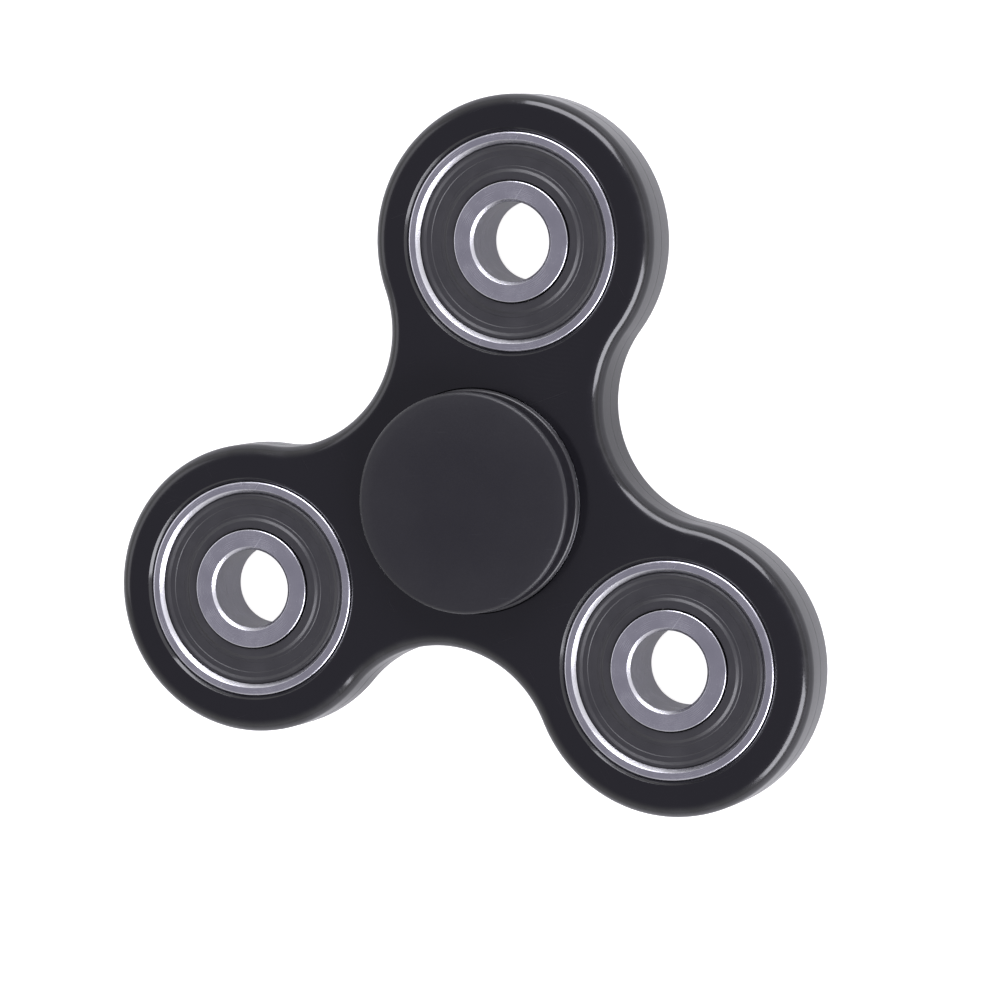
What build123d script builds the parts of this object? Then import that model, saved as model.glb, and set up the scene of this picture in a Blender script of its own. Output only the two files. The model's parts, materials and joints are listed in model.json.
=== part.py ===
from build123d import *
import math
import os

# Three-lobe hand spinner turning on ball bearings of the 608 size. All lengths are millimetres.
# Origin: on the spin axis, half way through the body. +Z: along the spin axis, towards the upper
# finger cap. +Y: towards lobe 1. Lobes 2 and 3 follow anticlockwise, seen from above.

# ---- Moulded body ----
LOBE_COUNT = 3
LOBE_DISTANCE = 26.2       # spin axis to a lobe's own axis
LOBE_R = 14.7              # outline radius round a lobe
WAIST_DISTANCE = 15.1      # spin axis to the outline's nearest point, between two lobes
BODY_HALF = 3.6            # half of the body's thickness
BODY_EDGE_R = 1.5          # rounding of the outer edges
POCKET_CHAMFER = 0.35      # lead-in round each bearing pocket

# ---- Bearing, 608 size: 8 mm bore, 22 mm outside diameter, 7 mm wide ----
BORE_R = 4.0
BEARING_R = 11.0
BEARING_HALF = 3.5
BALL_COUNT = 7
BALL_R = 3.969 / 2
BALL_PITCH_R = 7.5         # bearing axis to a ball's centre
BALL_CLEARANCE = 0.03      # between a ball and the bottom of either raceway
RACEWAY_R = 2.06           # raceways are slightly wider than the balls they hold
INNER_SHOULDER_R = 6.05    # outside of the inner ring
OUTER_SHOULDER_R = 8.95    # inside of the outer ring
RING_CORNER_R = 0.3        # rounding of the outer ring's outside corners
BORE_CHAMFER = 0.3
INNER_CORNER_R = 0.15      # rounding of the inner ring's outside corners

# ---- Groove in the outer ring that holds a seal or a shield ----
SEAT_Z = 2.4               # ledge that the seal rests on
SEAT_R = 9.9               # bottom of the groove
GROOVE_HEIGHT = 0.55       # straight side of the groove, above the ledge
MOUTH_R = 9.75             # narrowest part of the mouth, which the seal snaps past
MOUTH_CHAMFER = 0.4        # bright bevel from the mouth out to the ring's face
SEAL_R = 9.87
SEAL_BORE_R = 6.15
SHIELD_SHEET = 0.25        # thickness of a pressed steel shield
SHIELD_BEND_R = 0.3

# ---- Riveted ball cage ----
CAGE_BAND = 0.75           # the cage's reach on each side of the ball pitch circle
CAGE_SHEET = 0.4           # thickness of the flat lands between the balls
CAGE_SHELL = 0.3           # thickness of the rounded pockets
CAGE_PLAY = 0.06           # between a ball and its pocket
RIVET_R = 0.35
RIVET_HOLE_R = 0.36
RIVET_HEAD_R = 0.6
RIVET_HEAD_HEIGHT = 0.22
RIVET_HEAD_ROUND = 0.18

# ---- Finger caps ----
CAP_TOP_Z = 7.0
CAP_UNDER_Z = 3.75         # underside of the disc, clear of the turning body
CAP_R = 11.12
CAP_FLAT_R = 9.8           # the finger face is flat inside this radius
CAP_FALL = 0.13            # the finger face falls by this from the flat to the edge
CAP_FALL_BLEND_R = 8.0
CAP_EDGE_R = 0.45
WALL_FOOT_R = 11.02        # the wall leans in slightly, down to a crisp corner at the lip
LIP_TOP_Z = 4.12
LIP_CREST = (11.185, 4.025)  # the lip's rounded top turns down here
LIP_CREST_ROUND = 0.42
LIP_R = 11.25              # thin lip flared round the foot of the wall
LIP_EDGE_R = 0.04
BOSS_R = 5.6               # shoulder that sits on the inner ring's face
STEM_R = 3.98              # push fit in the inner ring's bore
STEM_END_Z = 0.05          # the two stems stop just short of each other
STEM_CHAMFER = 0.3
PEG_R = 2.0                # the upper cap's peg, which plugs into the lower cap
PEG_REACH = 4.4            # how far below the body's middle the peg goes
PEG_TIP_R = 0.5
SOCKET_R = 2.03
SOCKET_DEPTH = 4.8         # how far below the body's middle the socket goes


def turned(outline, rounds=()):
    """Solid of revolution about Z from (radius, height) points, with (point, radius) roundings."""
    profile = make_face(Polyline(*outline, close=True))
    for corner, radius in rounds:
        vertex = profile.vertices().sort_by_distance((*corner, 0))[0]
        profile = fillet(vertex, radius)
    return revolve(Plane.XZ * profile, axis=Axis.Z)


def tube(outer_r, inner_r, low, high):
    """Plain tube about Z between two heights."""
    ring = Circle(outer_r) - Circle(inner_r)
    return Pos(0, 0, low) * extrude(ring, high - low)


def upside_down(shape):
    return Rot(180, 0, 0) * shape


def lobe_angle(lobe):
    """Direction from the spin axis to lobe 1, 2 or 3, in degrees from +X."""
    return 90 + 360 / LOBE_COUNT * (lobe - 1)


# ---- Body ----
def body_outline():
    """Convex arc round each lobe, joined by concave arcs that are tangent to both lobes."""
    half_step = math.radians(180 / LOBE_COUNT)
    waist_arc_r = (
        LOBE_DISTANCE**2 + WAIST_DISTANCE**2 - LOBE_R**2
        - 2 * LOBE_DISTANCE * WAIST_DISTANCE * math.cos(half_step)
    ) / (2 * (LOBE_R - WAIST_DISTANCE + LOBE_DISTANCE * math.cos(half_step)))
    waist_centre_r = WAIST_DISTANCE + waist_arc_r
    across = waist_centre_r * math.sin(half_step)
    along = waist_centre_r * math.cos(half_step) - LOBE_DISTANCE
    lobe_half_sweep = math.degrees(math.atan2(across, along))
    waist_half_sweep = lobe_half_sweep - math.degrees(half_step)

    arcs = []
    for lobe in range(1, LOBE_COUNT + 1):
        outward = lobe_angle(lobe)
        lobe_centre = Vector(LOBE_DISTANCE, 0).rotate(Axis.Z, outward)
        arcs.append(CenterArc(lobe_centre, LOBE_R, outward - lobe_half_sweep, 2 * lobe_half_sweep))
        between = outward + math.degrees(half_step)
        waist_centre = Vector(waist_centre_r, 0).rotate(Axis.Z, between)
        first = between + 180 - waist_half_sweep
        arcs.append(CenterArc(waist_centre, waist_arc_r, first, 2 * waist_half_sweep))
    return make_face(arcs)


def bearing_places():
    """Name and location of the four bearings."""
    places = {"centre": Location((0, 0, 0))}
    for lobe in range(1, LOBE_COUNT + 1):
        places[f"lobe_{lobe}"] = Rot(0, 0, lobe_angle(lobe) - 90) * Pos(0, LOBE_DISTANCE, 0)
    return places


def body_frame():
    """One moulding: rounded three-lobe plate with four straight bearing pockets."""
    plate = Pos(0, 0, -BODY_HALF) * extrude(body_outline(), 2 * BODY_HALF)
    outer_edges = plate.edges().filter_by_position(Axis.Z, BODY_HALF, BODY_HALF)
    outer_edges += plate.edges().filter_by_position(Axis.Z, -BODY_HALF, -BODY_HALF)
    plate = fillet(outer_edges, BODY_EDGE_R)
    pocket = Cylinder(BEARING_R, 2 * BODY_HALF)
    lead_in = Pos(0, 0, BODY_HALF - POCKET_CHAMFER / 2) * Cone(
        BEARING_R, BEARING_R + POCKET_CHAMFER, POCKET_CHAMFER
    )
    for place in bearing_places().values():
        plate -= place * pocket
        plate -= place * lead_in
        plate -= place * upside_down(lead_in)
    return plate


# ---- Bearing ----
def outer_ring():
    """Outer race: a ball groove inside, and a seal groove with a bevelled mouth on each side."""
    upper = [
        (OUTER_SHOULDER_R, SEAT_Z),
        (SEAT_R, SEAT_Z),
        (SEAT_R, SEAT_Z + GROOVE_HEIGHT),
        (MOUTH_R, BEARING_HALF - MOUTH_CHAMFER),
        (MOUTH_R + MOUTH_CHAMFER, BEARING_HALF),
        (BEARING_R, BEARING_HALF),
    ]
    lower = [(radius, -height) for radius, height in reversed(upper)]
    corners = [((BEARING_R, height), RING_CORNER_R) for height in (BEARING_HALF, -BEARING_HALF)]
    raceway = Torus(BALL_PITCH_R + BALL_R + BALL_CLEARANCE - RACEWAY_R, RACEWAY_R)
    return turned(upper + lower, corners) - raceway


def inner_ring():
    """Inner race: a chamfered bore and a ball groove outside."""
    outline = [
        (BORE_R, BEARING_HALF - BORE_CHAMFER),
        (BORE_R + BORE_CHAMFER, BEARING_HALF),
        (INNER_SHOULDER_R, BEARING_HALF),
        (INNER_SHOULDER_R, -BEARING_HALF),
        (BORE_R + BORE_CHAMFER, -BEARING_HALF),
        (BORE_R, -BEARING_HALF + BORE_CHAMFER),
    ]
    corners = [((INNER_SHOULDER_R, height), INNER_CORNER_R) for height in (BEARING_HALF, -BEARING_HALF)]
    raceway = Torus(BALL_PITCH_R - BALL_R - BALL_CLEARANCE + RACEWAY_R, RACEWAY_R)
    return turned(outline, corners) - raceway


def balls():
    return Compound([place * Sphere(BALL_R) for place in PolarLocations(BALL_PITCH_R, BALL_COUNT)])


def rivet_places():
    """Half way between neighbouring balls."""
    return PolarLocations(BALL_PITCH_R, BALL_COUNT, start_angle=180 / BALL_COUNT)


def cage_upper_half():
    """Pressed sheet ring: flat lands between the balls and a rounded pocket over each ball."""
    pocket_r = BALL_R + CAGE_PLAY
    inner_r = BALL_PITCH_R - CAGE_BAND
    outer_r = BALL_PITCH_R + CAGE_BAND
    cage = tube(outer_r, inner_r, 0, CAGE_SHEET)
    reach = tube(outer_r, inner_r, 0, pocket_r + 2 * CAGE_SHELL)
    for place in PolarLocations(BALL_PITCH_R, BALL_COUNT):
        cage += reach & (place * Sphere(pocket_r + CAGE_SHELL))
    for place in PolarLocations(BALL_PITCH_R, BALL_COUNT):
        cage -= place * Sphere(pocket_r)
    for place in rivet_places():
        cage -= place * Cylinder(RIVET_HOLE_R, 2 * BALL_R)
    return cage


def cage_rivets():
    """Double-headed rivets that clamp the two cage halves together."""
    head_z = CAGE_SHEET + RIVET_HEAD_HEIGHT
    upper = [(0, head_z), (RIVET_HEAD_R, head_z), (RIVET_HEAD_R, CAGE_SHEET), (RIVET_R, CAGE_SHEET)]
    lower = [(radius, -height) for radius, height in reversed(upper)]
    rounds = [((RIVET_HEAD_R, height), RIVET_HEAD_ROUND) for height in (head_z, -head_z)]
    rivet = turned(upper + lower, rounds)
    return Compound([place * rivet for place in rivet_places()])


def rubber_seal():
    """Moulded rubber ring: a rounded rim in the groove, a dished web and a raised inner lip."""
    rim_side = (SEAL_R, 2.9)
    rim_shoulder = (9.7, 3.06)
    rim_crest = (9.45, 3.2)
    rim_foot = (9.1, 3.02)
    lip_foot = (7.25, 3.02)
    lip_crest = (6.95, 3.22)
    lip_edge = (SEAL_BORE_R, 3.22)
    lip_under = (SEAL_BORE_R, 2.65)
    web_under = (9.1, 2.65)
    rim_under = [(9.3, SEAT_Z), (SEAL_R, SEAT_Z)]
    outline = [rim_side, rim_shoulder, rim_crest, rim_foot, lip_foot, lip_crest, lip_edge]
    outline += [lip_under, web_under] + rim_under
    rounds = [(rim_crest, 0.2), (rim_foot, 0.3), (lip_foot, 0.25), (lip_crest, 0.2), (lip_edge, 0.12)]
    return turned(outline, rounds)


def steel_shield():
    """Pressed steel ring: a flange crimped in the groove, a raised web and a lowered inner lip."""
    flange = [(SEAL_R, 2.7), (9.5, 2.7)]
    web_outside, web_inside = (9.2, 3.1), (6.9, 3.1)
    lip = [(6.6, 2.85), (SEAL_BORE_R, 2.85)]
    upper = flange + [web_outside, web_inside] + lip
    lower = [(radius, height - SHIELD_SHEET) for radius, height in reversed(upper)]
    rounds = [(web_outside, SHIELD_BEND_R), (web_inside, SHIELD_BEND_R)]
    return turned(upper + lower, rounds)


def bearing(closure, closure_name):
    """The eight kinds of piece in one bearing, centred on the origin."""
    upper_half = cage_upper_half()
    return {
        "outer_ring": outer_ring(),
        "inner_ring": inner_ring(),
        "balls": balls(),
        "cage_upper_half": upper_half,
        "cage_lower_half": upside_down(upper_half),
        "cage_rivets": cage_rivets(),
        f"upper_{closure_name}": closure,
        f"lower_{closure_name}": upside_down(closure),
    }


# ---- Finger caps ----
def cap_outline():
    """Points and roundings of a finger disc with its boss and stem, down to the stem's end."""
    flat_rim = (CAP_FLAT_R, CAP_TOP_Z)
    edge = (CAP_R, CAP_TOP_Z - CAP_FALL)
    lip_edge = (LIP_R, CAP_UNDER_Z)
    outline = [
        (0, CAP_TOP_Z),
        flat_rim,
        edge,
        (WALL_FOOT_R, LIP_TOP_Z),
        LIP_CREST,
        lip_edge,
        (BOSS_R, CAP_UNDER_Z),
        (BOSS_R, BEARING_HALF),
        (STEM_R, BEARING_HALF),
        (STEM_R, STEM_END_Z + STEM_CHAMFER),
        (STEM_R - STEM_CHAMFER, STEM_END_Z),
    ]
    rounds = [
        (flat_rim, CAP_FALL_BLEND_R),
        (edge, CAP_EDGE_R),
        (LIP_CREST, LIP_CREST_ROUND),
        (lip_edge, LIP_EDGE_R),
    ]
    return outline, rounds


def upper_finger_cap():
    """The cap with the peg."""
    outline, rounds = cap_outline()
    tip = (PEG_R, -PEG_REACH)
    peg = [(PEG_R, STEM_END_Z), tip, (0, -PEG_REACH)]
    return turned(outline + peg, rounds + [(tip, PEG_TIP_R)])


def lower_finger_cap():
    """The cap with the socket, drawn upright and then turned over."""
    outline, rounds = cap_outline()
    socket = [(SOCKET_R, STEM_END_Z), (SOCKET_R, SOCKET_DEPTH), (0, SOCKET_DEPTH)]
    return upside_down(turned(outline + socket, rounds))


# ---- All nodes ----
def all_nodes():
    nodes = {
        "body_frame": body_frame(),
        "upper_finger_cap": upper_finger_cap(),
        "lower_finger_cap": lower_finger_cap(),
    }
    shielded = bearing(steel_shield(), "shield")
    sealed = bearing(rubber_seal(), "seal")
    for place_name, place in bearing_places().items():
        pieces = shielded if place_name == "centre" else sealed
        for piece_name, piece in pieces.items():
            nodes[f"{place_name}_{piece_name}"] = place * piece
    return nodes


os.makedirs("parts", exist_ok=True)
for node_name, node in all_nodes().items():
    export_step(node, f"parts/{node_name}.step")
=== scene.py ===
import json
import math

import bmesh
import bpy
from mathutils import Matrix, Vector
from mathutils.geometry import delaunay_2d_cdt


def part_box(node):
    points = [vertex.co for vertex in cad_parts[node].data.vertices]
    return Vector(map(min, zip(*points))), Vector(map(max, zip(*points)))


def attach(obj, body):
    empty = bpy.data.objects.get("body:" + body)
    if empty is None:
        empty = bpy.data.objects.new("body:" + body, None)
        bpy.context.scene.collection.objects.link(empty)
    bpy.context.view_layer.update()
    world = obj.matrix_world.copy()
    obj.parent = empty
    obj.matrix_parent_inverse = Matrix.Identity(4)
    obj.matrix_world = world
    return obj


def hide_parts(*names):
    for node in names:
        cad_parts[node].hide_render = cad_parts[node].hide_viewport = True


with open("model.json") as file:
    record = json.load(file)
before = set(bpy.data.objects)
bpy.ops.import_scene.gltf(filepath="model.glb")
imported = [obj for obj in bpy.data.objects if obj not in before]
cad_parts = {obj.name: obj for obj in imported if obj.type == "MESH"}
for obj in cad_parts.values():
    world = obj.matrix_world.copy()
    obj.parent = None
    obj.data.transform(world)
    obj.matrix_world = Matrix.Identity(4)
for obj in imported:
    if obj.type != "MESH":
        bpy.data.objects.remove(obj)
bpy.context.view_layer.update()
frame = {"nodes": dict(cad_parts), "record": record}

# Looks of a three-lobe hand spinner. Shapes are drawn in millimetres and turned into metres by MM.
# Places and outside sizes come from the CAD frame; the other values are the ones it doesn't hold.

MM = 0.001
LOBES = ("lobe_1", "lobe_2", "lobe_3")


def middle(node):
    """Middle of a CAD node's box, in millimetres."""
    low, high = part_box(node)
    return (low + high) / 2 / MM


def half_size(node):
    """Half of a CAD node's box, in millimetres."""
    low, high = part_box(node)
    return (high - low) / 2 / MM


# ---- From the frame, millimetres ----
LOBE_CENTRES = [middle(f"{lobe}_outer_ring").to_2d() for lobe in LOBES]
LOBE_DISTANCE = LOBE_CENTRES[0].length
LOBE_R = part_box("body_frame")[1].y / MM - LOBE_DISTANCE
BODY_HALF = half_size("body_frame").z
BEARING_R = half_size("centre_outer_ring").x
BEARING_HALF = half_size("centre_outer_ring").z
INNER_RING_R = half_size("centre_inner_ring").x
CAP_TOP_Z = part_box("upper_finger_cap")[1].z / MM

# ---- Drawing steps ----
TURN_STEPS = 256           # round a turned piece
HOLE_STEPS = 192           # round a bearing pocket
CORNER_STEPS = 6           # along a small rounded corner
LOBE_ARC_STEPS = 132       # along the outline round one lobe
WAIST_ARC_STEPS = 60       # along the outline between two lobes
RACEWAY_STEPS = 16         # along the section of a ball groove
BODY_EDGE_STEPS = 14       # along the rounded edge of the body
SMOOTH_BELOW = math.radians(32)   # corners that turn more than this show as edges
CRISP_R = 0.05             # millimetres, rounding of corners that look sharp
ON_AXIS = 1e-6             # millimetres, a smaller radius is a point on the axis
SAME_POINT = 1e-7          # millimetres, closer points are one in a flat fill

# ---- Body, millimetres ----
WAIST_DISTANCE = 15.1      # spin axis to the nearest point of the outline
BODY_EDGE_R = 1.5
PARTING_HEIGHT = 0.04      # half height of the mould's parting line
PARTING_PROUD = 0.015
POCKET_CHAMFER = 0.35
SUPPORT = 0.12             # width of the narrow strips that keep the flat faces flat
THIRD_TURN = 2 * math.pi / len(LOBES)
# Concave arc between two lobes: tangent to both, and WAIST_DISTANCE from the axis at its nearest point.
WAIST_ARC_R = (
    LOBE_DISTANCE**2 + WAIST_DISTANCE**2 - LOBE_R**2
    - 2 * LOBE_DISTANCE * WAIST_DISTANCE * math.cos(THIRD_TURN / 2)
) / (2 * (LOBE_R - WAIST_DISTANCE + LOBE_DISTANCE * math.cos(THIRD_TURN / 2)))

# ---- Bearing, millimetres ----
BORE_R = 4.0
BORE_CHAMFER = 0.3
BALL_PITCH_R = 7.5
BALL_R = 1.9845
BALL_CLEARANCE = 0.03
RACEWAY_R = 2.06
OUTER_SHOULDER_R = 8.95
SEAT_Z = 2.4               # ledge that a seal rests on
SEAT_R = 9.9
GROOVE_HEIGHT = 0.55
MOUTH_R = 9.75             # opening of the outer ring above the seal's groove
MOUTH_CHAMFER = 0.4
RING_CORNER_R = 0.3

# ---- Seal, millimetres ----
SEAL_R = 9.87
SEAL_SIDE_Z = 2.9          # top of the rim's upright side
SEAL_SHOULDER = (9.7, 3.06)
SEAL_CROWN = (9.45, 3.2)   # highest place of the rounded rim
SEAL_FOOT_R = 9.3          # inside of the rim, where it rests on the ledge
SEAL_UNDER_Z = 2.65
WEB_R = 9.1                # rim to flat web
WEB_Z = 3.02
CHANNEL_OUTER_R = 8.62
CHANNEL_INNER_R = 7.5
CHANNEL_DEPTH = 0.06
SEAL_LIP_FOOT_R = 7.25
SEAL_LIP_R = 6.95
SEAL_LIP_Z = 3.22
SEAL_BORE_R = 6.15

# ---- Finger caps, millimetres ----
CAP_UNDER_Z = 3.75
CAP_R = 11.12
CAP_FLAT_R = 9.8           # the finger face falls away outside this
CAP_FALL = 0.13            # from the flat to the edge
CAP_FALL_BLEND_R = 8.0     # rounding between the flat and the fall
CAP_EDGE_R = 0.45
WALL_FOOT_R = 11.02
LIP_TOP_Z = 4.12           # the wall flares out into a thin lip below this
LIP_CREST = (11.185, 4.025)
LIP_CREST_ROUND = 0.42
LIP_R = 11.25
LIP_EDGE_R = 0.04
BOSS_R = 5.6               # spacer that stands on the centre bearing's inner ring
STEM_R = 3.98
STEM_END_Z = 0.05
STEM_CHAMFER = 0.3
PEG_R = 2.0
PEG_REACH = 4.4
PEG_TIP_R = 0.5
SOCKET_R = 2.03
SOCKET_DEPTH = 4.8


# ======== Outlines ========

def rounded(corners):
    """Closed outline of (x, y) points from (x, y, radius, steps) corners, where radius 0 is a sharp one."""
    outline = []
    for index, (x, y, radius, steps) in enumerate(corners):
        corner = Vector((x, y))
        if radius == 0:
            outline.append((x, y))
            continue
        before = (Vector(corners[index - 1][:2]) - corner).normalized()
        after = (Vector(corners[(index + 1) % len(corners)][:2]) - corner).normalized()
        half = before.angle(after) / 2
        centre = corner + (before + after).normalized() * (radius / math.sin(half))
        start = corner + before * (radius / math.tan(half)) - centre
        sweep = start.angle_signed(corner + after * (radius / math.tan(half)) - centre)
        for step in range(steps + 1):
            spoke = Matrix.Rotation(-sweep * step / steps, 2) @ start
            outline.append(tuple(centre + spoke))
    return outline


def sharp(x, y):
    return (x, y, 0, 0)


def soft(x, y, radius=CRISP_R, steps=CORNER_STEPS):
    return (x, y, radius, steps)


def flipped(outline):
    """The same outline below the middle plane, in reversed order."""
    return [(point[0], -point[1], *point[2:]) for point in reversed(outline)]


def raceway(bottom_r, shoulder_r, outside):
    """Sharp points along a ball groove from its lower shoulder to its upper one."""
    side = 1 if outside else -1
    centre_r = bottom_r - side * RACEWAY_R
    reach = math.acos(side * (shoulder_r - centre_r) / RACEWAY_R)
    angles = [reach * (2 * step / RACEWAY_STEPS - 1) for step in range(RACEWAY_STEPS + 1)]
    return [
        sharp(centre_r + side * RACEWAY_R * math.cos(angle), RACEWAY_R * math.sin(angle))
        for angle in angles
    ]


# ======== Meshes ========

def finish_piece(name, mesh_bmesh, place=(0, 0, 0)):
    """Object in metres from a bmesh in millimetres, smooth except across real corners."""
    bmesh.ops.recalc_face_normals(mesh_bmesh, faces=mesh_bmesh.faces)
    bmesh.ops.scale(mesh_bmesh, vec=(MM, MM, MM), verts=mesh_bmesh.verts)
    mesh = bpy.data.meshes.new(name)
    mesh_bmesh.to_mesh(mesh)
    mesh_bmesh.free()
    mesh.shade_smooth()
    mesh.set_sharp_from_angle(angle=SMOOTH_BELOW)
    piece = bpy.data.objects.new(name, mesh)
    piece.location = place
    bpy.context.scene.collection.objects.link(piece)
    return piece


def turned_bmesh(corners):
    """Surface of revolution about Z from a closed (radius, height) outline. Points on the axis are poles."""
    made = bmesh.new()
    turn = [2 * math.pi * step / TURN_STEPS for step in range(TURN_STEPS)]
    rings = []
    for radius, height in rounded(corners):
        if radius < ON_AXIS:
            rings.append([made.verts.new((0, 0, height))])
            continue
        spots = [(radius * math.cos(angle), radius * math.sin(angle), height) for angle in turn]
        rings.append([made.verts.new(spot) for spot in spots])
    for index, ring in enumerate(rings):
        following = rings[(index + 1) % len(rings)]
        if len(ring) == 1 and len(following) == 1:
            continue
        for step in range(TURN_STEPS):
            ahead = (step + 1) % TURN_STEPS
            face = [ring[step % len(ring)], ring[ahead % len(ring)]]
            face += [following[ahead % len(following)], following[step % len(following)]]
            made.faces.new(list(dict.fromkeys(face)))
    return made


# ======== Body ========

def body_outline(inset):
    """Points round the body, moved inwards by inset. Every inset gives the same number of points."""
    waist_centre_r = WAIST_DISTANCE + WAIST_ARC_R
    across = waist_centre_r * math.sin(THIRD_TURN / 2)
    along = waist_centre_r * math.cos(THIRD_TURN / 2) - LOBE_DISTANCE
    lobe_sweep = math.atan2(across, along)
    waist_sweep = lobe_sweep - THIRD_TURN / 2
    points = []
    for centre in LOBE_CENTRES:
        outward = math.atan2(centre.y, centre.x)
        for step in range(LOBE_ARC_STEPS):
            angle = outward + lobe_sweep * (2 * step / LOBE_ARC_STEPS - 1)
            points.append(centre + (LOBE_R - inset) * Vector((math.cos(angle), math.sin(angle))))
        between = outward + THIRD_TURN / 2
        waist_centre = waist_centre_r * Vector((math.cos(between), math.sin(between)))
        for step in range(WAIST_ARC_STEPS):
            angle = between + math.pi + waist_sweep * (1 - 2 * step / WAIST_ARC_STEPS)
            points.append(waist_centre + (WAIST_ARC_R + inset) * Vector((math.cos(angle), math.sin(angle))))
    return points


def hole_circle(centre, radius):
    angles = [2 * math.pi * step / HOLE_STEPS for step in range(HOLE_STEPS)]
    return [centre + radius * Vector((math.cos(angle), math.sin(angle))) for angle in angles]


def bridge(made, first, second):
    """Faces between two closed loops with the same number of vertices."""
    count = len(first)
    for step in range(count):
        ahead = (step + 1) % count
        made.faces.new((first[step], first[ahead], second[ahead], second[step]))


def add_loop(made, points, height):
    return [made.verts.new((point.x, point.y, height)) for point in points]


def inside(point, loop):
    """True if a point is inside a closed loop, by counting the edges to its right."""
    crossings = 0
    for index, end in enumerate(loop):
        start = loop[index - 1]
        if (start.y > point.y) != (end.y > point.y):
            at_x = start.x + (point.y - start.y) * (end.x - start.x) / (end.y - start.y)
            crossings += at_x > point.x
    return crossings % 2 == 1


def fill_flat(made, outer, holes):
    """Flat triangles between an outer loop of vertices and the holes in it."""
    loops = [outer] + holes
    verts = [vert for loop in loops for vert in loop]
    outlines = [[vert.co.to_2d() for vert in loop] for loop in loops]
    flat = [point for outline in outlines for point in outline]
    edges = []
    first = 0
    for loop in loops:
        count = len(loop)
        edges += [(first + step, first + (step + 1) % count) for step in range(count)]
        first += count
    triangles = delaunay_2d_cdt(flat, edges, [], 0, SAME_POINT)[2]
    for triangle in triangles:
        centre = sum((flat[index] for index in triangle), Vector((0, 0))) / 3
        if inside(centre, outlines[0]) and not any(inside(centre, hole) for hole in outlines[1:]):
            made.faces.new([verts[index] for index in triangle])


def body_side_profile():
    """(inset, height) from the edge of the upper face, over the parting line, to the lower face's edge."""
    upper = [(BODY_EDGE_R, BODY_HALF)]
    for step in range(1, BODY_EDGE_STEPS + 1):
        angle = math.pi / 2 * step / BODY_EDGE_STEPS
        fall = BODY_EDGE_R * (1 - math.cos(angle))
        upper.append((BODY_EDGE_R * (1 - math.sin(angle)), BODY_HALF - fall))
    upper += [(0, 3 * PARTING_HEIGHT), (0, PARTING_HEIGHT)]
    return upper + [(-PARTING_PROUD, 0)] + flipped(upper)


def pocket_profile():
    """(radius, height) from the upper face's edge at a pocket down to the lower face's."""
    rim_r = BEARING_R + POCKET_CHAMFER
    corners = [
        sharp(rim_r + SUPPORT, BODY_HALF),
        soft(rim_r, BODY_HALF),
        soft(BEARING_R, BODY_HALF - POCKET_CHAMFER),
    ]
    return rounded(corners + flipped(corners))


def body_shell():
    """The moulding: rounded edges, a faint parting line and four chamfered pockets."""
    made = bmesh.new()
    side = [add_loop(made, body_outline(inset), height) for inset, height in body_side_profile()]
    pockets = []
    profile = pocket_profile()
    for centre in [Vector((0, 0))] + LOBE_CENTRES:
        pockets.append([add_loop(made, hole_circle(centre, radius), height) for radius, height in profile])
    for loops in [side] + pockets:
        for upper, lower in zip(loops, loops[1:]):
            bridge(made, upper, lower)
    for height, end in ((BODY_HALF, 0), (-BODY_HALF, -1)):
        support = add_loop(made, body_outline(BODY_EDGE_R + SUPPORT), height)
        bridge(made, side[end], support)
        fill_flat(made, support, [loops[end] for loops in pockets])
    return finish_piece("body_shell", made)


# ======== Bearing pieces ========

def outer_ring_corners():
    upper = [
        sharp(OUTER_SHOULDER_R, SEAT_Z),
        sharp(SEAT_R, SEAT_Z),
        sharp(SEAT_R, SEAT_Z + GROOVE_HEIGHT),
        soft(MOUTH_R, BEARING_HALF - MOUTH_CHAMFER),
        soft(MOUTH_R + MOUTH_CHAMFER, BEARING_HALF),
        soft(BEARING_R, BEARING_HALF, RING_CORNER_R),
    ]
    groove = raceway(BALL_PITCH_R + BALL_R + BALL_CLEARANCE, OUTER_SHOULDER_R, True)
    return groove + upper + flipped(upper)


def inner_ring_corners():
    upper = [
        soft(INNER_RING_R, BEARING_HALF, 3 * CRISP_R),
        soft(BORE_R + BORE_CHAMFER, BEARING_HALF),
        soft(BORE_R, BEARING_HALF - BORE_CHAMFER),
    ]
    groove = raceway(BALL_PITCH_R - BALL_R - BALL_CLEARANCE, INNER_RING_R, False)
    return groove + upper + flipped(upper)


def seal_corners():
    """Moulded seal: rounded rim, shallow channel in the web and raised lip, from the rim inwards."""
    rim = [
        sharp(SEAL_R, SEAT_Z),
        soft(SEAL_R, SEAL_SIDE_Z),
        soft(*SEAL_SHOULDER, 0.08),
        soft(*SEAL_CROWN, 0.16),
        soft(WEB_R, WEB_Z, 0.25),
    ]
    channel = [
        soft(CHANNEL_OUTER_R, WEB_Z),
        soft(CHANNEL_OUTER_R - CHANNEL_DEPTH, WEB_Z - CHANNEL_DEPTH),
        soft(CHANNEL_INNER_R + CHANNEL_DEPTH, WEB_Z - CHANNEL_DEPTH),
        soft(CHANNEL_INNER_R, WEB_Z),
    ]
    lip = [
        soft(SEAL_LIP_FOOT_R, WEB_Z, 0.2),
        soft(SEAL_LIP_R, SEAL_LIP_Z, 0.18),
        soft(SEAL_BORE_R, SEAL_LIP_Z, 0.12),
    ]
    underside = [
        sharp(SEAL_BORE_R, SEAL_UNDER_Z),
        sharp(WEB_R, SEAL_UNDER_Z),
        sharp(SEAL_FOOT_R, SEAT_Z),
    ]
    return rim + channel + lip + underside


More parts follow.
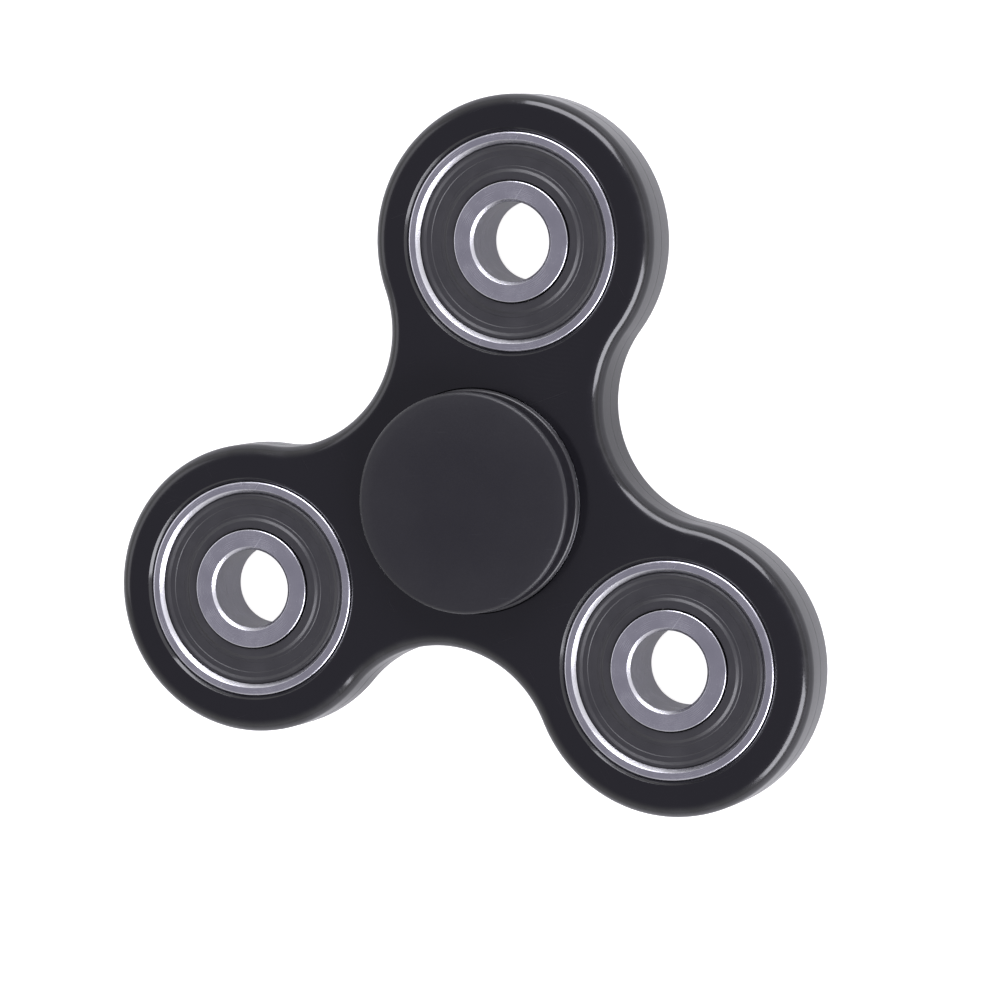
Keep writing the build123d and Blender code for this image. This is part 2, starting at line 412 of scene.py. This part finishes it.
def make_bearing_pieces(looks):
    """New turned pieces for the three visible bearings: both rings and both seals of each."""
    shapes = {
        "outer_race": ("outer_ring", outer_ring_corners()),
        "inner_race": ("inner_ring", inner_ring_corners()),
        "top_seal": ("upper_seal", seal_corners()),
        "bottom_seal": ("lower_seal", flipped(seal_corners())),
    }
    for lobe, centre in zip(LOBES, LOBE_CENTRES):
        for name, (node, corners) in shapes.items():
            piece = finish_piece(f"{lobe}_{name}", turned_bmesh(corners), centre.to_3d() * MM)
            stand_in(piece, f"{lobe}_{node}", looks)


# ======== Finger caps ========

def cap_corners(core):
    """Disc, boss and stem of a cap drawn upright; core holds the points from the stem's end inwards."""
    return [
        sharp(0, CAP_TOP_Z),
        soft(CAP_FLAT_R, CAP_TOP_Z, CAP_FALL_BLEND_R),
        soft(CAP_R, CAP_TOP_Z - CAP_FALL, CAP_EDGE_R, 2 * CORNER_STEPS),
        sharp(WALL_FOOT_R, LIP_TOP_Z),
        soft(*LIP_CREST, LIP_CREST_ROUND, 2 * CORNER_STEPS),
        soft(LIP_R, CAP_UNDER_Z, LIP_EDGE_R),
        sharp(BOSS_R, CAP_UNDER_Z),
        soft(BOSS_R, BEARING_HALF),
        sharp(STEM_R, BEARING_HALF),
        sharp(STEM_R, STEM_END_Z + STEM_CHAMFER),
        sharp(STEM_R - STEM_CHAMFER, STEM_END_Z),
    ] + core


def make_caps(looks):
    peg = [sharp(PEG_R, STEM_END_Z), soft(PEG_R, -PEG_REACH, PEG_TIP_R), sharp(0, -PEG_REACH)]
    socket = [sharp(SOCKET_R, STEM_END_Z), sharp(SOCKET_R, SOCKET_DEPTH), sharp(0, SOCKET_DEPTH)]
    upper = finish_piece("upper_cap", turned_bmesh(cap_corners(peg)))
    lower = finish_piece("lower_cap", turned_bmesh(flipped(cap_corners(socket))))
    stand_in(upper, "upper_finger_cap", looks)
    stand_in(lower, "lower_finger_cap", looks)


# ======== Materials ========

# Colours are linear, with a fourth value of 1. The blacks lean towards violet.
BODY_BLACK = (0.0055, 0.0052, 0.0070, 1)
BODY_RUBBED = (0.018, 0.0175, 0.021, 1)
CAP_DARK = (0.0060, 0.0056, 0.0080, 1)
CAP_LIGHT = (0.0100, 0.0094, 0.0126, 1)
CAP_MARK = (0.030, 0.030, 0.035, 1)
# Lighter than the face's plastic: a painted sheen on the cap's side wall.
CAP_WALL_PAINTED_SHEEN = (0.0110, 0.0104, 0.0135, 1)
# Lighter still: a painted highlight along the cap's lip.
CAP_LIP_PAINTED_HIGHLIGHT = (0.0150, 0.0143, 0.0175, 1)
RUBBER_DARK = (0.0150, 0.0145, 0.0170, 1)
RUBBER_LIGHT = (0.0240, 0.0232, 0.0265, 1)
RING_DARK = (0.49, 0.485, 0.53, 1)
RING_LIGHT = (0.61, 0.605, 0.65, 1)
BALL_DARK = (0.60, 0.60, 0.62, 1)
BALL_LIGHT = (0.72, 0.71, 0.70, 1)
SHEET_CORNER = (0.75, 0.75, 0.76, 1)
TABLE_DARK = (0.64, 0.64, 0.64, 1)
TABLE_LIGHT = (0.68, 0.68, 0.68, 1)
TABLE_GLOW = (1.0, 0.995, 0.99, 1)
SKY_LEVEL = (1, 1, 1, 1)
SKY_OVERHEAD = (0.345, 0.335, 0.395, 1)

PLASTIC_IOR = 1.5
RUBBER_IOR = 1.52
RING_WAVE = 0.31           # spacing of a ring wave texture's rings at scale 1
OUTWARD_CORNER = (0.52, 0.60)   # range of Pointiness on an outward corner


class Look:
    """A node material with short calls for adding and joining nodes."""

    def __init__(self, name):
        self.material = bpy.data.materials.new(name)
        self.material.use_nodes = True
        self.tree = self.material.node_tree
        self.surface = self.tree.nodes["Principled BSDF"]
        coordinates = self.tree.nodes.new("ShaderNodeTexCoord")
        self.place = self.vector("SCALE", coordinates.outputs["Object"], scale=1 / MM)

    def feed(self, socket, value):
        """A value is another node's output, or the number or colour itself."""
        if isinstance(value, bpy.types.NodeSocket):
            self.tree.links.new(value, socket)
        else:
            socket.default_value = value

    def vector(self, operation, first, second=None, scale=None):
        node = self.tree.nodes.new("ShaderNodeVectorMath")
        node.operation = operation
        self.feed(node.inputs[0], first)
        if second is not None:
            self.feed(node.inputs[1], second)
        if scale is not None:
            self.feed(node.inputs["Scale"], scale)
        return node.outputs["Value" if operation == "LENGTH" else "Vector"]

    def math(self, operation, first, second=0.0):
        node = self.tree.nodes.new("ShaderNodeMath")
        node.operation = operation
        self.feed(node.inputs[0], first)
        self.feed(node.inputs[1], second)
        return node.outputs[0]

    def spread(self, value, taken, given):
        """Value over the range taken, mapped to the range given and held at the ends."""
        node = self.tree.nodes.new("ShaderNodeMapRange")
        self.feed(node.inputs["Value"], value)
        self.feed(node.inputs["From Min"], taken[0])
        self.feed(node.inputs["From Max"], taken[1])
        self.feed(node.inputs["To Min"], given[0])
        self.feed(node.inputs["To Max"], given[1])
        return node.outputs[0]

    def noise(self, scale, detail=3.0, place=None, roughness=0.55):
        """Noise with about scale features in a millimetre."""
        node = self.tree.nodes.new("ShaderNodeTexNoise")
        self.feed(node.inputs["Vector"], place or self.place)
        self.feed(node.inputs["Scale"], scale)
        self.feed(node.inputs["Detail"], detail)
        self.feed(node.inputs["Roughness"], roughness)
        return node.outputs[0]

    def streaks(self, angle, along, across, threshold):
        """Thin straight marks: 1 on a mark, 0 elsewhere.

        A millimetre holds about along features lengthwise and across features crosswise.
        """
        turn = self.tree.nodes.new("ShaderNodeMapping")
        turn.vector_type = "TEXTURE"
        turn.inputs["Rotation"].default_value = (0, 0, math.radians(angle))
        turn.inputs["Scale"].default_value = (1 / along, 1 / across, 1 / across)
        self.feed(turn.inputs["Vector"], self.place)
        noise = self.noise(1.0, 2.0, turn.outputs[0])
        return self.spread(noise, (threshold, threshold + 0.04), (0.0, 1.0))

    def mix(self, share, first, second):
        node = self.tree.nodes.new("ShaderNodeMix")
        node.data_type = "RGBA"
        self.feed(node.inputs["Factor"], share)
        self.feed(node.inputs[6], first)
        self.feed(node.inputs[7], second)
        return node.outputs[2]

    def bump(self, height, depth, under=None):
        """Normal from a height of 0 to 1, where 1 stands depth millimetres proud."""
        node = self.tree.nodes.new("ShaderNodeBump")
        self.feed(node.inputs["Height"], height)
        node.inputs["Distance"].default_value = depth * MM
        if under is not None:
            self.feed(node.inputs["Normal"], under)
        return node.outputs[0]

    def worn_edges(self):
        """1 on outward corners, 0 elsewhere."""
        geometry = self.tree.nodes.new("ShaderNodeNewGeometry")
        return self.spread(geometry.outputs["Pointiness"], OUTWARD_CORNER, (0.0, 1.0))

    def radius(self):
        """Distance from the object's own Z axis, in millimetres."""
        return self.vector("LENGTH", self.vector("MULTIPLY", self.place, (1, 1, 0)))

    def height(self):
        """Distance from the object's middle plane, in millimetres."""
        split = self.tree.nodes.new("ShaderNodeSeparateXYZ")
        self.feed(split.inputs[0], self.place)
        return self.math("ABSOLUTE", split.outputs["Z"])

    def turning_marks(self, scale, detail=3.0):
        """Noise that is the same all round the Z axis, as a lathe or a grinding wheel leaves it."""
        node = self.tree.nodes.new("ShaderNodeTexNoise")
        node.noise_dimensions = "1D"
        self.feed(node.inputs["W"], self.math("ADD", self.radius(), self.height()))
        self.feed(node.inputs["Scale"], scale)
        self.feed(node.inputs["Detail"], detail)
        return node.outputs[0]

    def height_band(self, low, high, fade):
        """1 where the height is between low and high, fading to 0 over fade millimetres on both sides."""
        above = self.spread(self.height(), (low - fade, low), (0.0, 1.0))
        below = self.spread(self.height(), (high, high + fade), (1.0, 0.0))
        return self.math("MULTIPLY", above, below)

    def finger_ridges(self, pitch, patch_scale):
        """Greasy ridges of fingerprints, pitch millimetres apart, in a few soft patches."""
        ridges = self.tree.nodes.new("ShaderNodeTexWave")
        ridges.wave_type = "RINGS"
        self.feed(ridges.inputs["Vector"], self.place)
        self.feed(ridges.inputs["Scale"], RING_WAVE / pitch)
        self.feed(ridges.inputs["Distortion"], 9.0)
        self.feed(ridges.inputs["Detail"], 1.0)
        self.feed(ridges.inputs["Detail Scale"], 0.35)
        patches = self.spread(self.noise(patch_scale, 2.0), (0.56, 0.66), (0.0, 1.0))
        return self.math("MULTIPLY", ridges.outputs[0], patches)

    def surface_is(self, **values):
        """Feeds the surface's sockets, which are named with _ for a space, and returns the material."""
        for socket, value in values.items():
            self.feed(self.surface.inputs[socket.replace("_", " ")], value)
        return self.material


def glossy_abs():
    """Black ABS from a polished mould: deep gloss, mild orange peel, finger grease and hairline marks."""
    look = Look("glossy_abs")
    film = look.spread(look.noise(0.09, 5.0), (0.35, 0.7), (0.10, 0.20))
    prints = look.math("MULTIPLY", look.finger_ridges(pitch=0.45, patch_scale=0.07), 0.07)
    marks = look.math(
        "MAXIMUM",
        look.streaks(angle=28, along=0.12, across=9.0, threshold=0.72),
        look.streaks(angle=-51, along=0.15, across=11.0, threshold=0.73),
    )
    edge = look.height_band(BODY_HALF - 0.7, BODY_HALF - 0.25, 0.25)
    rubbed = look.math("MULTIPLY", edge, look.spread(look.noise(0.5, 4.0), (0.4, 0.7), (0.0, 0.6)))
    orange_peel = look.bump(look.noise(0.9, 2.0), 0.006)
    return look.surface_is(
        Base_Color=look.mix(rubbed, BODY_BLACK, BODY_RUBBED),
        Roughness=look.math("ADD", look.math("ADD", film, prints), look.math("MULTIPLY", marks, 0.22)),
        IOR=PLASTIC_IOR,
        Normal=look.bump(look.math("SUBTRACT", 1.0, marks), 0.0015, orange_peel),
    )


def satin_cap_plastic():
    """Black plastic: spark-textured finger face, polished in the middle by use, and a smoother wall. The lip
    is coloured lighter as a painted highlight, and the wall a little lighter than the face as a painted
    sheen.
    """
    look = Look("satin_cap_plastic")
    face = look.spread(look.height(), (CAP_TOP_Z - 0.5, CAP_TOP_Z - 0.12), (0.0, 1.0))
    # Mask for the lip, which takes the painted highlight colour; the wall above it takes the painted sheen
    # colour.
    lip = look.spread(look.height(), (LIP_TOP_Z, LIP_TOP_Z + 0.1), (1.0, 0.0))
    grain = look.noise(5.5, 4.0, roughness=0.7)
    touched = look.spread(look.noise(0.16, 4.0), (0.3, 0.7), (0.31, 0.37))
    marks = look.streaks(angle=12, along=0.15, across=4.0, threshold=0.72)
    unpolished = look.spread(look.radius(), (4.0, CAP_R), (0.0, 0.09))
    satin = look.math("ADD", touched, unpolished)
    foot = look.spread(look.height(), (CAP_UNDER_Z + 0.15, LIP_CREST[1]), (0.65, 0.30))
    grained = look.mix(grain, CAP_DARK, CAP_LIGHT)
    marked = look.mix(look.math("MULTIPLY", marks, 0.3), grained, CAP_MARK)
    return look.surface_is(
        Base_Color=look.mix(face, look.mix(lip, CAP_WALL_PAINTED_SHEEN, CAP_LIP_PAINTED_HIGHLIGHT), marked),
        Roughness=look.spread(face, (0.0, 1.0), (foot, satin)),
        IOR=PLASTIC_IOR,
        Normal=look.bump(look.math("MULTIPLY", grain, face), 0.012),
    )


def ground_steel():
    """Bearing steel, ground while turning: fine rings about the bearing's axis, with a few stray marks."""
    look = Look("ground_steel")
    lay = look.turning_marks(16.0, 4.0)
    haze = look.noise(0.5, 4.0)
    marks = look.streaks(angle=63, along=0.2, across=9.0, threshold=0.71)
    tangent = look.tree.nodes.new("ShaderNodeTangent")
    tangent.direction_type = "RADIAL"
    tangent.axis = "Z"
    ground = look.spread(look.math("ADD", lay, haze), (0.7, 1.3), (0.17, 0.30))
    return look.surface_is(
        Base_Color=look.mix(haze, RING_DARK, RING_LIGHT),
        Metallic=1.0,
        Roughness=look.math("ADD", ground, look.math("MULTIPLY", marks, 0.15)),
        Anisotropic=0.55,
        Tangent=tangent.outputs[0],
        Normal=look.bump(lay, 0.004),
    )


def polished_steel():
    """Lapped ball steel: nearly a mirror, with a faint oil film."""
    look = Look("polished_steel")
    film = look.noise(0.8, 4.0)
    return look.surface_is(
        Base_Color=look.mix(film, BALL_DARK, BALL_LIGHT),
        Metallic=1.0,
        Roughness=look.spread(film, (0.3, 0.7), (0.04, 0.12)),
        Normal=look.bump(look.noise(3.0, 3.0), 0.0006),
    )


def pressed_steel(name, dark, light):
    """Thin sheet after pressing: rolled grain, slight unevenness, brighter at its bent corners."""
    look = Look(name)
    grain = look.streaks(angle=0, along=0.8, across=14.0, threshold=0.45)
    uneven = look.noise(0.7, 4.0)
    tint = look.mix(uneven, (dark, dark, dark * 1.03, 1), (light, light, light * 1.02, 1))
    return look.surface_is(
        Base_Color=look.mix(look.math("MULTIPLY", look.worn_edges(), 0.5), tint, SHEET_CORNER),
        Metallic=1.0,
        Roughness=look.spread(look.math("ADD", grain, uneven), (0.4, 1.6), (0.24, 0.42)),
        Normal=look.bump(uneven, 0.01),
    )


def nitrile_rubber():
    """Dark moulded rubber: satin, fine pores, and faint rings left by the turning of its mould."""
    look = Look("nitrile_rubber")
    pores = look.noise(7.0, 4.0, roughness=0.65)
    cloud = look.noise(0.35, 4.0)
    rings = look.turning_marks(7.0, 2.0)
    relief = look.math("ADD", look.math("MULTIPLY", pores, 0.4), look.math("MULTIPLY", rings, 0.6))
    return look.surface_is(
        Base_Color=look.mix(cloud, RUBBER_DARK, RUBBER_LIGHT),
        Roughness=look.spread(cloud, (0.3, 0.7), (0.36, 0.46)),
        IOR=RUBBER_IOR,
        Normal=look.bump(relief, 0.012),
    )


def all_looks():
    """Material for each of the record's material slots."""
    return {
        "body_shell": glossy_abs(),
        "cap_plastic": satin_cap_plastic(),
        "ring_steel": ground_steel(),
        "ball_steel": polished_steel(),
        "cage_steel": pressed_steel("cage_sheet", 0.38, 0.50),
        "rivet_steel": pressed_steel("rivet_wire", 0.46, 0.60),
        "shield_steel": pressed_steel("shield_sheet", 0.45, 0.58),
        "seal_rubber": nitrile_rubber(),
    }


def slot_of(node):
    return next(part["material_slot"] for part in frame["record"]["subparts"] if part["node"] == node)


def body_of(node):
    """Name of the moving body that a CAD node belongs to."""
    members = frame["record"]["behaviour"]["bodies"]
    return next(body for body, nodes in members.items() if node in nodes)


def stand_in(piece, node, looks):
    """Lets a new piece take a CAD node's place, body, slot and material."""
    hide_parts(node)
    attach(piece, body_of(node))
    piece.data.materials.append(looks[slot_of(node)])


def dress_cad_nodes(looks):
    """Material for every CAD node, including the ones shown as they are."""
    for name, node in frame["nodes"].items():
        node.data.materials.clear()
        node.data.materials.append(looks[slot_of(name)])


# ======== Studio ========

FLOOR_HALF = 1.5           # metres
FLOOR_GAP = 0.02 * MM      # keeps the floor off the cap's flat face
GLOW_ON_OBJECT = 0.1
GLOW_TO_CAMERA = 0.9       # stronger than on the object, so that the table shows white
SKY_LEVEL_BELOW = 0.35     # height on a unit sphere where the white of eye level starts to dim
SKY_DIM_ABOVE = 0.85       # and where it reaches the overhead colour
SOFTBOX_TINT = (0.985, 0.98, 1.06)
CAMERA_DISTANCE = 0.503    # metres from the point it looks at
CAMERA_TILT = 21.1         # degrees off the spin axis
CAMERA_SIDE = 20.3         # direction of that tilt, degrees from +X towards +Y
CAMERA_ROLL = 8.5          # lobe 1 leans this many degrees clockwise from upright
CAMERA_LENS = 180          # millimetres
CAMERA_CLIP_START = 0.05   # metres
LOOK_AT = Vector((1.53, 0.07, 0)) * MM


def pale_floor():
    """Plain pale table under the lower cap. It glows like a light table, and is clear from below."""
    made = bmesh.new()
    bmesh.ops.create_grid(made, x_segments=1, y_segments=1, size=FLOOR_HALF)
    mesh = bpy.data.meshes.new("floor")
    made.to_mesh(mesh)
    made.free()
    floor = bpy.data.objects.new("floor", mesh)
    floor.location.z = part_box("lower_finger_cap")[0].z - FLOOR_GAP
    bpy.context.scene.collection.objects.link(floor)
    look = Look("pale_floor")
    seen = look.tree.nodes.new("ShaderNodeLightPath").outputs["Is Camera Ray"]
    below = look.tree.nodes.new("ShaderNodeNewGeometry").outputs["Backfacing"]
    mesh.materials.append(look.surface_is(
        Base_Color=look.mix(look.noise(0.01, 3.0), TABLE_DARK, TABLE_LIGHT),
        Roughness=0.9,
        Emission_Color=TABLE_GLOW,
        Emission_Strength=look.spread(seen, (0.0, 1.0), (GLOW_ON_OBJECT, GLOW_TO_CAMERA)),
        Alpha=look.math("SUBTRACT", 1.0, below),
    ))


def sky():
    """White all round at eye level, and dimmer overhead where the camera stands."""
    world = bpy.data.worlds.new("studio")
    bpy.context.scene.world = world
    world.use_nodes = True
    tree = world.node_tree
    direction = tree.nodes.new("ShaderNodeTexCoord").outputs["Generated"]
    split = tree.nodes.new("ShaderNodeSeparateXYZ")
    ramp = tree.nodes.new("ShaderNodeValToRGB")
    tree.links.new(direction, split.inputs[0])
    tree.links.new(split.outputs["Z"], ramp.inputs[0])
    ramp.color_ramp.elements[0].position = SKY_LEVEL_BELOW
    ramp.color_ramp.elements[0].color = SKY_LEVEL
    ramp.color_ramp.elements[1].position = SKY_DIM_ABOVE
    ramp.color_ramp.elements[1].color = SKY_OVERHEAD
    tree.links.new(ramp.outputs[0], tree.nodes["Background"].inputs["Color"])
    tree.nodes["Background"].inputs["Strength"].default_value = 1.0


def softbox(name, azimuth, elevation, distance, width, height, power):
    """Area light aimed at the object's middle. Azimuth is from +X towards +Y; angles are in degrees."""
    light = bpy.data.lights.new(name, "AREA")
    light.shape = "RECTANGLE"
    light.size = width
    light.size_y = height
    light.energy = power
    light.color = SOFTBOX_TINT
    lamp = bpy.data.objects.new(name, light)
    turn = math.radians(azimuth)
    rise = math.radians(elevation)
    away = Vector((math.cos(turn) * math.cos(rise), math.sin(turn) * math.cos(rise), math.sin(rise)))
    lamp.location = away * distance
    lamp.rotation_euler = away.to_track_quat("Z", "Y").to_euler()
    bpy.context.scene.collection.objects.link(lamp)


def studio_lights():
    """Strong softboxes at the picture's lower right and top, and weak ones at its right and left."""
    softbox("right_near", azimuth=-31, elevation=34, distance=0.9, width=0.75, height=0.46, power=9.6)
    softbox("right_far", azimuth=88, elevation=34, distance=0.9, width=0.75, height=0.46, power=7.8)
    softbox("right_fill", azimuth=28, elevation=30, distance=1.0, width=1.0, height=0.25, power=0.5)
    softbox("left", azimuth=175, elevation=34, distance=1.0, width=0.7, height=0.4, power=1.0)


def camera():
    """Camera at the photo's viewing angle, aimed at LOOK_AT."""
    tilt, side, roll = (math.radians(angle) for angle in (CAMERA_TILT, CAMERA_SIDE, CAMERA_ROLL))
    towards = Vector((math.sin(tilt) * math.cos(side), math.sin(tilt) * math.sin(side), math.cos(tilt)))
    upright = Vector((-math.sin(roll), math.cos(roll), 0))
    right = upright.cross(towards).normalized()
    rotation = Matrix((right, towards.cross(right), towards)).transposed()
    lens = bpy.data.cameras.new("camera")
    lens.lens = CAMERA_LENS
    lens.clip_start = CAMERA_CLIP_START
    viewer = bpy.data.objects.new("camera", lens)
    viewer.matrix_world = Matrix.Translation(LOOK_AT + towards * CAMERA_DISTANCE) @ rotation.to_4x4()
    bpy.context.scene.collection.objects.link(viewer)
    bpy.context.scene.camera = viewer


# ======== The scene ========

slot_looks = all_looks()
dress_cad_nodes(slot_looks)
stand_in(body_shell(), "body_frame", slot_looks)
make_bearing_pieces(slot_looks)
make_caps(slot_looks)
pale_floor()
sky()
studio_lights()
camera()
bpy.context.scene.view_settings.view_transform = "Standard"
